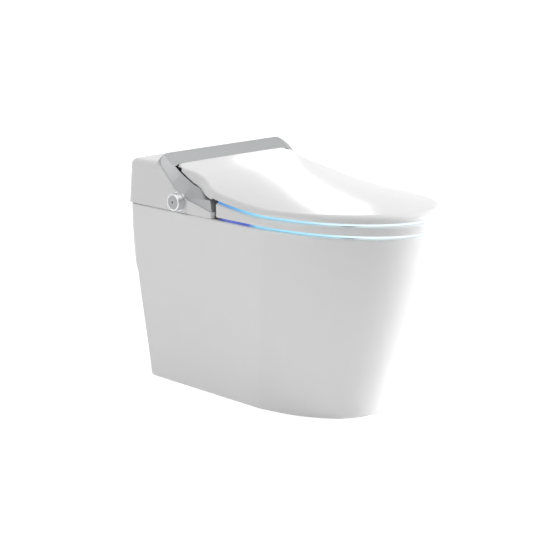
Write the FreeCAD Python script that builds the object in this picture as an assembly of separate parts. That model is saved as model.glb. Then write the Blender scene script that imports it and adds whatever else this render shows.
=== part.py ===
import FreeCAD
import Part
import math
import os

# Smart toilet: a skirted one-piece bowl with a wash unit, a heated seat and a lid on its rear deck.
# Millimetres, +Z up. The user faces -Y, the wall is at +Y, and the origin is the centre of the
# waste outlet at floor level.

# Overall sizes
rim_height = 400.0
body_length = 681.0
body_width = 380.0
outlet_to_rear = 295.0
rear_y = outlet_to_rear
front_y = rear_y - body_length

# Shared clearances
overrun = 2.0
slide_gap = 0.05
seam_gap = 0.3
swing_gap = 2.0

# Ceramic skirt, flaring from a narrow foot to the rim
nose_share = 0.765
nose_power = 2.04
base_width = 300.0
base_front_setback = 125.0
base_nose_share = 0.58
flare_level_shares = (0.0, 0.36, 0.72, 1.0)
flare_width_shares = (0.0, 0.475, 0.91, 1.0)
flare_front_shares = (0.0, 0.408, 0.792, 1.0)
nose_steps = 14
rear_setback = 14.0
rear_step_top = 296.0
rear_step_drop = 52.0
rear_corner_radius = 14.0
hollow_corner_radius = 4.0
ceramic_wall = 12.0
deck_thickness = 24.0
foot_edge_radius = 9.0
rim_edge_radius = 4.0
foot_rear_y = rear_y - rear_setback
deck_under = rim_height - deck_thickness

# Bowl
bowl_width = 260.0
bowl_depth = 285.0
bowl_wall = 10.0
rim_front_width = 58.0
bowl_rear_land = 90.0
sump_shift = 24.0
bowl_level_shares = (0.0, 0.25, 0.55, 0.8, 1.0)
bowl_size_shares = (1.0, 0.93, 0.73, 0.48, 0.22)

# Trapway and outlet horn
trap_bore = 52.0
trap_wall = 9.0
trap_bend_radius = 52.0
trap_weir_rise = 50.0
trap_sump_rise = 20.0
trap_leg_height = rim_height - bowl_depth + trap_weir_rise
horn_diameter = 100.0
horn_length = 40.0
horn_bore = 80.0
horn_bore_depth = 26.0

# Water inlet fitting and power lead gland on the rear wall
inlet_side = 140.0
inlet_height = 180.0
inlet_thread_radius = 10.5
inlet_thread_length = 14.0
inlet_flange_radius = 16.0
inlet_flange = 3.0
inlet_shank_radius = 9.0
inlet_nut_radius = 15.0
inlet_nut = 6.0
inlet_bore_radius = 3.0
barb_radius = 5.0
barb_length = 12.0
gland_radius = 9.0
gland_flange_radius = 15.0
gland_flange = 4.0
gland_bore_radius = 3.5

# Supply hose
hose_wall = 2.0
hose_bend_radius = 30.0
hose_deck_play = 3.0
hose_run = 10.0
hose_radius = barb_radius + slide_gap + hose_wall

# Flush tank hung in the rear deck, with its pump, float and hose
tank_width = 220.0
tank_length = 100.0
tank_depth = 160.0
tank_wall = 4.0
tank_rear_inset = 45.0
tank_flange = 8.0
tank_flange_thickness = 4.0
tank_play = 1.0
pump_radius = 28.0
pump_height = 50.0
pump_outlet_height = 14.0
flush_hose_radius = 11.0
flush_hose_wall = 2.0
flush_port_depth = 45.0
flush_port_inset = 8.0
float_stem_radius = 4.0
float_stem_length = 140.0
float_radius = 16.0
float_height = 20.0
float_stop_radius = 7.0
float_stop = 4.0
float_side = 70.0
tank_rear_y = rear_y - tank_rear_inset
tank_front_y = tank_rear_y - tank_length
tank_mid_y = (tank_front_y + tank_rear_y) / 2
tank_top = rim_height - tank_flange_thickness
tank_floor = tank_top - tank_depth
bowl_front_y = front_y + rim_front_width
bowl_rear_y = tank_front_y - bowl_rear_land
bowl_length = bowl_rear_y - bowl_front_y
bowl_centre_y = (bowl_front_y + bowl_rear_y) / 2

# Trim band seen from the side: its length from arm tip to crest and its rise above the rim
band_tip_y = 27.0
band_length = 173.0
band_rise = 115.0
band_upper_shares = ((0.023, 0.339), (0.48, 0.522), (0.70, 0.687), (0.838, 0.817), (1.0, 1.0))
band_lower_shares = ((0.936, 0.817), (0.653, 0.426), (0.445, 0.291), (0.399, 0.261))
band_lip_index = 3
band_seam_index = 2
band_shoulder_radius = 40.0
band_tip_rise = 13.0
band_face_drop = 28.0
band_drop_shares = (0.0, 0.8, 0.7, 0.4, 0.35)
band_skirt_height = 30.0
nose_length = nose_share * (band_tip_y - front_y)
base_nose_length = base_nose_share * (band_tip_y - front_y)
crest_y = band_tip_y + band_length
crest_z = rim_height + band_rise

# Rear cover
cover_gap = 2.0
cover_rise = 97.0
cover_overhang = 5.0
cover_draft = 5.0
cover_wall = 3.0
cover_edge_radius = 14.0
cover_corner_radius = 20.0
cover_flange_overlap = 8.0
cover_flange = 3.0
cover_flange_end_inset = 16.0
cover_screw_radius = 2.0
cover_screw_head_radius = 4.0
cover_screw_head = 2.5
cover_screw_end_inset = 24.0
cover_bottom = rim_height + cover_gap
cover_top = rim_height + cover_rise
envelope_half_width = body_width / 2 + cover_overhang
envelope_rear_y = rear_y + cover_overhang

# Chassis plate on the deck and its bolts
chassis_thickness = 5.0
chassis_half_width = 172.0
chassis_front_y = 48.0
chassis_rear_inset = 9.0
tongue_half_width = 100.0
bolt_radius = 4.0
bolt_head_radius = 7.0
bolt_head = 5.0
nut_radius = 8.0
nut_height = 8.0
bolt_tail = 3.0
bolt_side = 142.0
bolt_y = 112.0
chassis_top = rim_height + chassis_thickness
chassis_rear_y = rear_y - chassis_rear_inset

# Side panels under the band's arms
panel_thickness = 8.0
panel_gap = 0.9
panel_tab = 4.0
panel_tab_start_share = 0.4
panel_tab_reach = 12.0

# Lid
lid_overhang = 5.0
lid_nose_share = 0.766
lid_nose_power = 2.04
lid_neck_width = 332.0
lid_neck_corner = 22.0
lid_wall = 4.0
lid_gap = 6.0
lid_rise = 95.5
lid_edge_radius = 16.0
lid_neck_edge_radius = 5.0
lid_neck_inset = 0.4
lid_station_shares = (0.0, 0.1, 0.2, 0.44, 0.72, 1.0)
lid_crown_shares = (1.0, 0.905, 0.805, 0.62, 0.545, 0.46)
lid_side_shares = (0.99, 0.83, 0.645, 0.415, 0.37, 0.37)
lid_skin_edge = 1.5
lid_axis_back = 15.0
lid_axis_drop = 12.0
lid_liner_thickness = 3.0
lid_liner_inset = 1.0
lid_liner_rear_gap = 7.0

# Lid hinge
lid_pin_radius = 4.0
lid_barrel_radius = 6.8
lid_ear_start = 102.0
lid_ear_width = 12.0
lid_ear_reach = 50.0
lid_ear_depth = 12.0
post_gap = 3.0
post_width = 16.0
post_foot_thickness = 4.0
post_foot_front = 16.0
post_foot_rear = 14.0
post_front_slope = 12.0
post_half_depth = 5.0
damper_length = 22.0
post_slot_play = 1.5

# Seat
seat_gap = 6.0
seat_plate_thickness = 6.0
seat_wall = 4.0
seat_rear_gap = 5.0
seat_corner_radius = 10.0
seat_low_share = 0.412
seat_low_rise = 22.5
seat_rear_rise = 37.0
seat_front_rise = 25.0
seat_front_width = 72.0
seat_hole_width = 216.0
seat_rear_width = 42.0
seat_edge_radius = 6.0
seat_hole_edge_radius = 7.0
heater_foil = 0.8
heater_inset = 8.0
heater_gap = 0.1
seat_bottom = rim_height + seat_gap
seat_seam = seat_bottom + seat_plate_thickness
seat_rear_y = band_tip_y - seat_rear_gap
lid_front_y = front_y - lid_overhang
lid_half_width = body_width / 2
lid_nose_length = lid_nose_share * (band_tip_y - lid_front_y)
seat_low_y = seat_rear_y - seat_low_share * (seat_rear_y - lid_front_y)

# Seat hinge
seat_axis_back = 48.0
seat_axis_rise = 25.0
seat_pin_radius = 5.0
seat_bush_wall = 2.0
seat_barrel_radius = 11.0
lug_start = 120.0
lug_width = 26.0
lug_root = 10.0
lug_under_gap = 3.0
lug_top_drop = 9.0
ear_gap = 2.0
ear_width = 8.0
ear_radius = 10.0
ear_half_foot = 13.0
bracket_base = 3.0
seat_axis_y = seat_rear_y + seat_axis_back
seat_axis_z = rim_height + seat_axis_rise

# Cushion pads and light strips in the gaps under the seat and the lid
pad_length = 42.0
pad_width = 18.0
pad_side_shares = (0.642, 0.85)
pad_front_offsets = (91.0, 283.0)
strip_inset = 1.5
strip_width = 5.0
strip_thickness = 4.5
strip_rear_inset = 12.0
strip_break = 2.0

# Fascia in front of the wash unit
fascia_wall = 3.0
fascia_side_lift = 7.0
fascia_nose_half_width = 108.0
fascia_nose_y = 30.0
fascia_front_y = 86.0
fascia_nose_rise = 34.0
fascia_brow_y = 60.0
fascia_brow_rise = 48.0
fascia_mid_y = 150.0
fascia_mid_rise = 59.0
fascia_rear_rise = 62.0
port_play = 1.0

# Wash wands, their guide and their drives, laid out along the slope of the wands
wand_slope_degrees = 15.0
wand_port_rise = 8.0
wand_radius = 8.0
wand_spacing = 30.0
wand_length = 150.0
wand_tip_length = 16.0
wand_tip_round = 3.0
wand_bore_radius = 3.0
spray_radius = 1.0
spray_count = 4
spray_pitch = 2.8
spray_start = 4.0
rack_module = 1.0
rack_base = 3.0
rack_thickness = 6.0
rack_start = 20.0
pinion_teeth = 18
pinion_y = 32.0
pinion_backlash = 0.25
pinion_shaft_radius = 2.0
pressure_degrees = 20.0
flank_steps = 4
guide_floor = 3.0
guide_front = 16.0
bridge_gap = 1.5
bridge_thickness = 2.0
bridge_length = 26.0
bridge_rib = 10.0
motor_radius = 10.0
motor_height = 10.0
leg_half_width = 16.0
leg_inset = 16.0

# Warm air dryer
dryer_x = -80.0
dryer_y = 202.0
dryer_radius = 36.0
dryer_height = 44.0
dryer_wall = 2.0
dryer_inlet_radius = 20.0
duct_left = -101.0
duct_right = -64.0
duct_height = 22.0
duct_front_gap = 0.5
dryer_motor_radius = 14.0
dryer_motor_height = 12.0
dryer_shaft_radius = 3.0
fan_radius = 31.0
fan_plate = 2.0
fan_hub_radius = 8.0
fan_height = 24.0
fan_blades = 14
fan_blade = 1.6
fan_gap = 1.0

# Water heater, inlet valve, wash pump, odour filter, power supply and control board
unit_edge_radius = 3.0
heater_x = 30.0
heater_y = 212.0
heater_width = 82.0
heater_length = 66.0
heater_height = 52.0
heater_port_shares = (0.3, 0.7)
valve_width = 30.0
valve_length = 56.0
valve_height = 34.0
coil_radius = 11.0
coil_height = 22.0
wash_pump_x = 76.0
wash_pump_y = 128.0
wash_pump_radius = 16.0
wash_pump_length = 52.0
wash_pump_foot = 3.0
filter_x = 64.0
filter_y = 52.0
filter_width = 40.0
filter_length = 48.0
filter_height = 26.0
supply_x = -34.0
supply_y = 216.0
supply_width = 56.0
supply_length = 62.0
supply_height = 40.0
board_x = -160.0
board_y = 196.0
board_width = 42.0
board_length = 84.0
board_thickness = 1.6
standoff_radius = 3.0
standoff_height = 10.0
standoff_inset = 5.0
chip_length_shares = (0.18, 0.42, 0.7)
chip_width = 16.0
chip_height = 5.0

# Control knob on the user's right
knob_y = 125.5
knob_rise = 25.0
knob_radius = 18.5
knob_length = 15.0
knob_edge = 1.2
knob_bezel_radius = 20.0
knob_bezel = 3.0
knob_web = 4.0
knob_shaft_radius = 4.0
knob_shaft_hole_radius = 8.0
knob_run_gap = 0.5
button_radius = 14.5
button_gap = 0.3
button_thickness = 6.0
button_proud = 1.0
button_round = 0.8
lens_radius = 2.0
lens_proud = 0.3
lens_depth = 3.0
encoder_size = 24.0
encoder_depth = 16.0
knob_z = rim_height + knob_rise

V = FreeCAD.Vector


# Plain solids and outlines

def box(x0, x1, y0, y1, z0, z1):
    return Part.makeBox(x1 - x0, y1 - y0, z1 - z0, V(x0, y0, z0))


def rod_x(radius, x0, x1, y, z):
    return Part.makeCylinder(radius, x1 - x0, V(x0, y, z), V(1, 0, 0))


def rod_y(radius, y0, y1, x, z):
    return Part.makeCylinder(radius, y1 - y0, V(x, y0, z), V(0, 1, 0))


def rod_z(radius, z0, z1, x, y):
    return Part.makeCylinder(radius, z1 - z0, V(x, y, z0))


def mirrored(shape):
    return shape.mirror(V(0, 0, 0), V(1, 0, 0))


def pair(shape):
    return Part.makeCompound([shape, mirrored(shape)])


def both(shape):
    return shape.fuse(mirrored(shape))


def side_prism(points, x0, x1):
    """Extrude an outline drawn in (y, z) from x0 to x1."""
    corners = [V(x0, y, z) for y, z in points]
    face = Part.Face(Part.makePolygon(corners + corners[:1]))
    return face.extrude(V(x1 - x0, 0, 0))


def plan_prism(wire, z0, z1):
    """Extrude a flat outline, drawn at z = 0, from z0 to z1."""
    prism = Part.Face(wire).extrude(V(0, 0, z1 - z0))
    prism.translate(V(0, 0, z0))
    return prism


def corner_arc(centre, start_degrees, radius, z):
    points = []
    for turn in (0, 45, 90):
        angle = math.radians(start_degrees + turn)
        points.append(V(centre[0] + radius * math.cos(angle), centre[1] + radius * math.sin(angle), z))
    return Part.Arc(*points).toShape()


def nose_curve(half_width, tip_y, nose, power, z):
    """Rounded front end of an outline, from its +X side to its -X side."""
    points = [V(half_width, tip_y + nose, z)]
    for step in range(1, nose_steps):
        angle = math.pi * step / nose_steps
        across = math.copysign(abs(math.cos(angle)) ** (2 / power), math.cos(angle))
        ahead = math.sin(angle) ** (2 / power)
        points.append(V(half_width * across, tip_y + nose - nose * ahead, z))
    points.append(V(-half_width, tip_y + nose, z))
    curve = Part.BSplineCurve()
    curve.interpolate(Points=points, InitialTangent=V(0, -1, 0), FinalTangent=V(0, 1, 0))
    return curve.toShape()


def nose_outline(half_width, tip_y, nose, power, back_y, corner, z):
    """Closed outline with a rounded front, straight sides and a squared back."""
    shoulder_y = tip_y + nose
    inner_x = half_width - corner
    inner_y = back_y - corner
    return Part.Wire([
        nose_curve(half_width, tip_y, nose, power, z),
        Part.makeLine(V(-half_width, shoulder_y, z), V(-half_width, inner_y, z)),
        corner_arc((-inner_x, inner_y), 90, corner, z),
        Part.makeLine(V(-inner_x, back_y, z), V(inner_x, back_y, z)),
        corner_arc((inner_x, inner_y), 0, corner, z),
        Part.makeLine(V(half_width, inner_y, z), V(half_width, shoulder_y, z)),
    ])


def oval(centre_y, half_length, half_width, z):
    long_end = V(0, centre_y + half_length, z)
    wide_end = V(half_width, centre_y, z)
    return Part.Wire([Part.Ellipse(long_end, wide_end, V(0, centre_y, z)).toShape()])


def tube_along(path, radius, start, direction):
    profile = Part.Wire([Part.makeCircle(radius, start, direction)])
    return path.makePipeShell([profile], True, False)


def rounded_uprights(block, radius):
    """Round the four upright edges of a block."""
    uprights = [edge for edge in block.Edges if edge.BoundBox.XLength + edge.BoundBox.YLength < radius]
    return block.makeFillet(radius, uprights)


# Shared construction lines of the wash unit

def band_point(shares):
    return (band_tip_y + shares[0] * band_length, rim_height + shares[1] * band_rise)


band_upper = [band_point(shares) for shares in band_upper_shares]
band_lower = [band_point(shares) for shares in band_lower_shares]
lip_y, lip_z = band_upper[band_lip_index]
seam_y, seam_z = band_lower[band_seam_index]
lid_rear_y = lip_y - swing_gap
lid_length = lid_rear_y - lid_front_y
lid_axis_y = lip_y - lid_axis_back
lid_axis_z = lip_z - lid_axis_drop
well_half_width = lid_neck_width / 2 + swing_gap


def envelope(inset, z0, z1, front):
    """Outer volume of the wash unit: rounded at the rear corners and drawn in towards the top."""
    wires = []
    for z in (z0, z1):
        shrink = inset + cover_draft * (z - cover_bottom) / (cover_top - cover_bottom)
        half_width = envelope_half_width - shrink
        back = envelope_rear_y - shrink
        corner = cover_corner_radius - inset
        inner_x = half_width - corner
        inner_y = back - corner
        wires.append(Part.Wire([
            Part.makeLine(V(half_width, front, z), V(half_width, inner_y, z)),
            corner_arc((inner_x, inner_y), 0, corner, z),
            Part.makeLine(V(inner_x, back, z), V(-inner_x, back, z)),
            corner_arc((-inner_x, inner_y), 90, corner, z),
            Part.makeLine(V(-half_width, inner_y, z), V(-half_width, front, z)),
            Part.makeLine(V(-half_width, front, z), V(half_width, front, z)),
        ]))
    return Part.makeLoft(wires, True, True)


def seat_rise_at(y):
    """Height of the seat's upper edge above the rim: an arc rising each way from its low point."""
    if y > seat_low_y:
        span, lift = seat_rear_y - seat_low_y, seat_rear_rise - seat_low_rise
    else:
        span, lift = seat_low_y - lid_front_y, seat_front_rise - seat_low_rise
    radius = (span * span + lift * lift) / (2 * lift)
    return seat_low_rise + radius - math.sqrt(radius * radius - (y - seat_low_y) ** 2)


def saddle_edges(lift, front, back):
    """The seat's upper edge line in side view, raised by lift, as two arcs."""
    edges = []
    for start, end in ((front, seat_low_y), (seat_low_y, back)):
        points = []
        for y in (start, (start + end) / 2, end):
            points.append(V(0, y, rim_height + seat_rise_at(y) + lift))
        edges.append(Part.Arc(*points).toShape())
    return edges


def saddle_block(lift, limit_z, extra=()):
    """Everything between the seat's edge line, raised by lift, and a level, across the width."""
    front = lid_front_y - lid_overhang
    edges = saddle_edges(lift, front, band_tip_y)
    corners = [edges[-1].Vertexes[-1].Point] + [V(0, y, z) for y, z in extra]
    corners.append(V(0, corners[-1].y, limit_z))
    corners.append(V(0, front, limit_z))
    corners.append(edges[0].Vertexes[0].Point)
    for start, end in zip(corners, corners[1:]):
        edges.append(Part.makeLine(start, end))
    face = Part.Face(Part.Wire(Part.__sortEdges__(edges)))
    block = face.extrude(V(2 * body_width, 0, 0))
    block.translate(V(-body_width, 0, 0))
    return block


# Ceramic

def flared_body(inset, back, corner):
    wires = []
    for level, wide, ahead in zip(flare_level_shares, flare_width_shares, flare_front_shares):
        half_width = (base_width + (body_width - base_width) * wide) / 2 - inset
        tip = front_y + base_front_setback * (1 - ahead) + inset
        nose = base_nose_length + (nose_length - base_nose_length) * ahead - inset
        wires.append(nose_outline(half_width, tip, nose, nose_power, back, corner, rim_height * level))
    return Part.makeLoft(wires, True, False)


def bowl_form(grow):
    wires = []
    for level, size in zip(bowl_level_shares, bowl_size_shares):
        wires.append(oval(bowl_centre_y - sump_shift * level, bowl_length / 2 * size + grow,
                          bowl_width / 2 * size + grow, rim_height - (bowl_depth + grow) * level))
    return Part.makeLoft(wires, True, False)


def trap_form(radius, start_z):
    """Trapway tube: up from the outlet, over a bend and down, tangent to it, to the bowl's sump."""
    sump_y = bowl_centre_y - sump_shift + trap_bend_radius
    sump_z = trap_sump_rise - trap_weir_rise
    run = math.sqrt(sump_y ** 2 + sump_z ** 2 - trap_bend_radius ** 2)
    turn = 2 * math.pi + math.atan2(sump_z, sump_y) - math.atan2(run, trap_bend_radius)
    bend = []
    for angle in (0, turn / 2, turn):
        bend.append(V(0, trap_bend_radius * (math.cos(angle) - 1),
                      trap_leg_height + trap_bend_radius * math.sin(angle)))
    run_end = bend[-1] + V(0, -math.sin(turn), math.cos(turn)) * run
    foot = V(0, 0, start_z)
    path = Part.Wire([Part.makeLine(foot, bend[0]), Part.Arc(*bend).toShape(),
                      Part.makeLine(bend[-1], run_end)])
    return tube_along(path, radius, foot, V(0, 0, 1))


def outer_casting():
    body = flared_body(0, rear_y, rear_corner_radius)
    step = [(foot_rear_y, -overrun), (foot_rear_y, rear_step_top - rear_step_drop), (rear_y, rear_step_top),
            (rear_y + overrun, rear_step_top), (rear_y + overrun, -overrun)]
    body = body.cut(side_prism(step, -body_width, body_width))
    foot_edges = [edge for edge in body.Edges if abs(edge.BoundBox.ZMax) < slide_gap]
    body = body.makeFillet(foot_edge_radius, foot_edges)
    rim_edges = [edge for edge in body.Edges if abs(edge.BoundBox.ZMin - rim_height) < slide_gap]
    return body.makeFillet(rim_edge_radius, rim_edges)


def between_levels(z0, z1):
    """Everything between two levels."""
    return box(-body_width, body_width, front_y - overrun, rear_y + overrun, z0, z1)


def skirt_hollow():
    hollow = flared_body(ceramic_wall, foot_rear_y - ceramic_wall, hollow_corner_radius)
    return hollow.common(between_levels(-overrun, deck_under))


def ceramic_body():
    skirt = outer_casting().common(between_levels(-overrun, deck_under)).cut(skirt_hollow())
    for cut in rear_wall_cuts():
        skirt = skirt.cut(cut)
    return skirt


def rim_deck():
    deck = outer_casting().common(between_levels(deck_under, rim_height + overrun)).cut(bowl_form(0))
    for cut in deck_cuts():
        deck = deck.cut(cut)
    return deck


def flush_port():
    return rod_y(flush_hose_radius + seam_gap, flush_port_y - bowl_wall, bowl_rear_y + bowl_wall + overrun,
                 0, flush_port_z)


def bowl_basin():
    basin = bowl_form(bowl_wall).common(skirt_hollow())
    for cut in (bowl_form(0), trap_form(trap_bore / 2, -overrun), flush_port()):
        basin = basin.cut(cut)
    return basin


def trapway():
    tube = trap_form(trap_bore / 2 + trap_wall, 0).fuse(rod_z(horn_diameter / 2, 0, horn_length, 0, 0))
    tube = tube.cut(bowl_form(bowl_wall))
    tube = tube.cut(trap_form(trap_bore / 2, -overrun))
    return tube.cut(rod_z(horn_bore / 2, -overrun, horn_bore_depth, 0, 0))


def deck_cuts():
    """Tank well, hose passage and bolt holes."""
    half = tank_width / 2
    ledge = tank_flange + tank_play
    low = deck_under - overrun
    high = rim_height + overrun
    cuts = [
        box(-half - tank_play, half + tank_play, tank_front_y - tank_play, tank_rear_y + tank_play,
            low, high),
        box(-half - ledge, half + ledge, tank_front_y - ledge, tank_rear_y + ledge, tank_top, high),
        rod_z(hose_radius + hose_deck_play, low, high, inlet_side, hose_rise_y),
    ]
    for side in (-bolt_side, bolt_side):
        cuts.append(rod_z(bolt_radius + seam_gap, low, high, side, bolt_y))
    return cuts


def rear_wall_cuts():
    """Holes for the water inlet and the power lead gland."""
    inner = foot_rear_y - ceramic_wall - overrun
    outer = foot_rear_y + overrun
    return [rod_y(inlet_shank_radius + seam_gap, inner, outer, inlet_side, inlet_height),
            rod_y(gland_radius + seam_gap, inner, outer, -inlet_side, inlet_height)]


# Plumbing inside the ceramic

inlet_nut_y = foot_rear_y - ceramic_wall - inlet_nut
hose_start_y = inlet_nut_y - seam_gap
hose_rise_y = hose_start_y - barb_length - hose_run - hose_bend_radius
flush_port_y = bowl_rear_y - flush_port_inset
flush_port_z = rim_height - flush_port_depth


def inlet_fitting():
    inner_wall = foot_rear_y - ceramic_wall
    flange_end = foot_rear_y + inlet_flange
    body = rod_y(inlet_shank_radius, inlet_nut_y, foot_rear_y, inlet_side, inlet_height)
    for radius, start, end in ((inlet_flange_radius, foot_rear_y, flange_end),
                               (inlet_thread_radius, flange_end, flange_end + inlet_thread_length),
                               (inlet_nut_radius, inlet_nut_y, inner_wall),
                               (barb_radius, inlet_nut_y - barb_length, inlet_nut_y)):
        body = body.fuse(rod_y(radius, start, end, inlet_side, inlet_height))
    bore = rod_y(inlet_bore_radius, inlet_nut_y - barb_length - overrun,
                 flange_end + inlet_thread_length + overrun, inlet_side, inlet_height)
    return body.cut(bore)


def lead_gland():
    inner_wall = foot_rear_y - ceramic_wall
    inner = inner_wall - gland_flange
    outer = foot_rear_y + gland_flange
    body = rod_y(gland_radius, inner, outer, -inlet_side, inlet_height)
    for start in (inner, foot_rear_y):
        body = body.fuse(rod_y(gland_flange_radius, start, start + gland_flange, -inlet_side, inlet_height))
    return body.cut(rod_y(gland_bore_radius, inner - overrun, outer + overrun, -inlet_side, inlet_height))


def supply_hose():
    bend_y = hose_rise_y + hose_bend_radius
    bend_z = inlet_height + hose_bend_radius
    slant = hose_bend_radius * math.sqrt(0.5)
    start = V(inlet_side, hose_start_y, inlet_height)
    turn_in = V(inlet_side, bend_y, inlet_height)
    middle = V(inlet_side, bend_y - slant, bend_z - slant)
    turn_out = V(inlet_side, hose_rise_y, bend_z)
    end = V(inlet_side, hose_rise_y, rim_height - seam_gap)
    path = Part.Wire([Part.makeLine(start, turn_in), Part.Arc(turn_in, middle, turn_out).toShape(),
                      Part.makeLine(turn_out, end)])
    outside = tube_along(path, hose_radius, start, V(0, 1, 0))
    return outside.cut(tube_along(path, hose_radius - hose_wall, start, V(0, 1, 0)))


def flush_tank():
    half = tank_width / 2
    tank = box(-half, half, tank_front_y, tank_rear_y, tank_floor, rim_height)
    tank = tank.fuse(box(-half - tank_flange, half + tank_flange, tank_front_y - tank_flange,
                         tank_rear_y + tank_flange, tank_top, rim_height))
    inner_front = tank_front_y + tank_wall
    tank = tank.cut(box(-half + tank_wall, half - tank_wall, inner_front, tank_rear_y - tank_wall,
                        tank_floor + tank_wall, rim_height + overrun))
    return tank.cut(rod_y(flush_hose_radius + seam_gap, tank_front_y - overrun, inner_front + overrun,
                          0, flush_port_z))


def flush_pump():
    base = tank_floor + tank_wall
    pump = rod_z(pump_radius, base, base + pump_height, 0, tank_mid_y)
    outlet_top = base + pump_height + pump_outlet_height
    pump = pump.fuse(rod_z(flush_hose_radius - flush_hose_wall - slide_gap, base, outlet_top, 0, tank_mid_y))
    top_edges = [edge for edge in pump.Edges
                 if edge.BoundBox.ZLength < slide_gap and edge.BoundBox.XLength > pump_radius
                 and edge.BoundBox.ZMin > base + slide_gap]
    return pump.makeFillet(unit_edge_radius, top_edges)


def flush_hose():
    base = tank_floor + tank_wall + pump_height + seam_gap
    bend = (tank_mid_y - tank_front_y) / 2
    slant = bend * math.sqrt(0.5)
    start = V(0, tank_mid_y, base)
    turn_in = V(0, tank_mid_y, flush_port_z - bend)
    middle = V(0, tank_mid_y - bend + slant, flush_port_z - bend + slant)
    turn_out = V(0, tank_mid_y - bend, flush_port_z)
    end = V(0, flush_port_y, flush_port_z)
    path = Part.Wire([Part.makeLine(start, turn_in), Part.Arc(turn_in, middle, turn_out).toShape(),
                      Part.makeLine(turn_out, end)])
    outside = tube_along(path, flush_hose_radius, start, V(0, 0, 1))
    return outside.cut(tube_along(path, flush_hose_radius - flush_hose_wall, start, V(0, 0, 1)))


def float_stem():
    bottom = rim_height - float_stem_length
    stem = rod_z(float_stem_radius, bottom, rim_height, float_side, tank_mid_y)
    return stem.fuse(rod_z(float_stop_radius, bottom, bottom + float_stop, float_side, tank_mid_y))


def level_float():
    base = rim_height - float_stem_length + float_stop
    ring = rod_z(float_radius, base, base + float_height, float_side, tank_mid_y)
    ring = ring.makeFillet(unit_edge_radius, ring.Edges)
    return ring.cut(rod_z(float_stem_radius + slide_gap, base - overrun, base + float_height + overrun,
                          float_side, tank_mid_y))


# Chassis and the fixed mouldings of the wash unit

rack_reach = wand_radius + rack_base + pinion_teeth * rack_module
wand_slot_half_width = wand_spacing / 2 + rack_reach + motor_radius / 2


def chassis():
    plate = box(-chassis_half_width, chassis_half_width, chassis_front_y, chassis_rear_y,
                rim_height, chassis_top)
    tongue_front = fascia_nose_y + fascia_wall + seam_gap
    plate = plate.fuse(box(-tongue_half_width, tongue_half_width, tongue_front, chassis_front_y + overrun,
                           rim_height, chassis_top))
    low = rim_height - overrun
    high = chassis_top + overrun
    plate = plate.cut(box(-wand_slot_half_width, wand_slot_half_width, tongue_front - overrun,
                          fascia_brow_y + overrun, low, high))
    plate = plate.cut(rod_z(barb_radius + seam_gap, low, high, inlet_side, hose_rise_y))
    for side in (-1, 1):
        plate = plate.cut(rod_z(bolt_radius + seam_gap, low, high, side * bolt_side, bolt_y))
        for screw_y in cover_screw_rows():
            plate = plate.cut(rod_z(cover_screw_radius + slide_gap, low, high, side * cover_screw_x, screw_y))
    return plate


cover_screw_x = chassis_half_width - cover_flange_overlap / 2


def cover_screw_rows():
    return (seam_y + cover_screw_end_inset, rear_y - cover_screw_end_inset - cover_corner_radius)


def chassis_bolts():
    head = rod_z(bolt_head_radius, chassis_top, chassis_top + bolt_head, bolt_side, bolt_y)
    shank = rod_z(bolt_radius, deck_under - nut_height - bolt_tail, chassis_top, bolt_side, bolt_y)
    return pair(head.fuse(shank))


def chassis_nuts():
    hexagon = []
    for corner in range(6):
        angle = math.radians(60 * corner)
        hexagon.append(V(bolt_side + nut_radius * math.cos(angle), bolt_y + nut_radius * math.sin(angle), 0))
    low = deck_under - nut_height
    nut = plan_prism(Part.makePolygon(hexagon + hexagon[:1]), low, deck_under)
    hole = rod_z(bolt_radius + slide_gap, low - overrun, deck_under + overrun, bolt_side, bolt_y)
    return pair(nut.cut(hole))


def rounded_top(block, top, front, radius):
    """Round the top edges of a block, all but the one along its front."""
    edges = []
    for edge in block.Edges:
        bounds = edge.BoundBox
        on_top = bounds.ZMin > top - slide_gap
        along_front = bounds.YMax < front + slide_gap
        if on_top and not along_front:
            edges.append(edge)
    return block.makeFillet(radius, edges)


def cover_outline(gap):
    """Side view of the rear cover, kept clear of the band by a gap."""
    high = crest_z + overrun
    low = cover_bottom - overrun
    back = envelope_rear_y + overrun
    points = [(seam_y, low), (seam_y, seam_z - gap)]
    points += [(y + gap, z - gap) for y, z in reversed(band_lower[:band_seam_index])]
    return points + [(points[-1][0], high), (back, high), (back, low)]


def rear_cover():
    front = seam_y - overrun
    outside = rounded_top(envelope(0, cover_bottom, cover_top, front), cover_top, front, cover_edge_radius)
    inner_top = cover_top - cover_wall
    inner_front = front - overrun
    inside = rounded_top(envelope(cover_wall, cover_bottom - overrun, inner_top, inner_front), inner_top,
                         inner_front, cover_edge_radius - cover_wall)
    cover = outside.cut(inside)
    flange_back = rear_y - cover_flange_end_inset - cover_corner_radius
    flange = box(chassis_half_width - cover_flange_overlap, body_width, seam_y + cover_flange_end_inset,
                 flange_back, chassis_top, chassis_top + cover_flange)
    flange = both(flange).common(envelope(cover_wall / 2, cover_bottom, cover_top, front))
    cover = cover.fuse(flange)
    cover = cover.common(side_prism(cover_outline(seam_gap), -body_width, body_width))
    for side in (-1, 1):
        for screw_y in cover_screw_rows():
            cover = cover.cut(rod_z(cover_screw_radius + slide_gap, chassis_top - overrun,
                                    chassis_top + cover_flange + overrun, side * cover_screw_x, screw_y))
    return cover.cut(rod_x(knob_shaft_hole_radius, -body_width, -chassis_half_width, knob_y, knob_z))


def cover_screws():
    screws = []
    for side in (-1, 1):
        for screw_y in cover_screw_rows():
            shank = rod_z(cover_screw_radius, rim_height + seam_gap, chassis_top + cover_flange,
                          side * cover_screw_x, screw_y)
            head_base = chassis_top + cover_flange
            head = rod_z(cover_screw_head_radius, head_base, head_base + cover_screw_head,
                         side * cover_screw_x, screw_y)
            screws.append(shank.fuse(head))
    return Part.makeCompound(screws)


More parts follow.
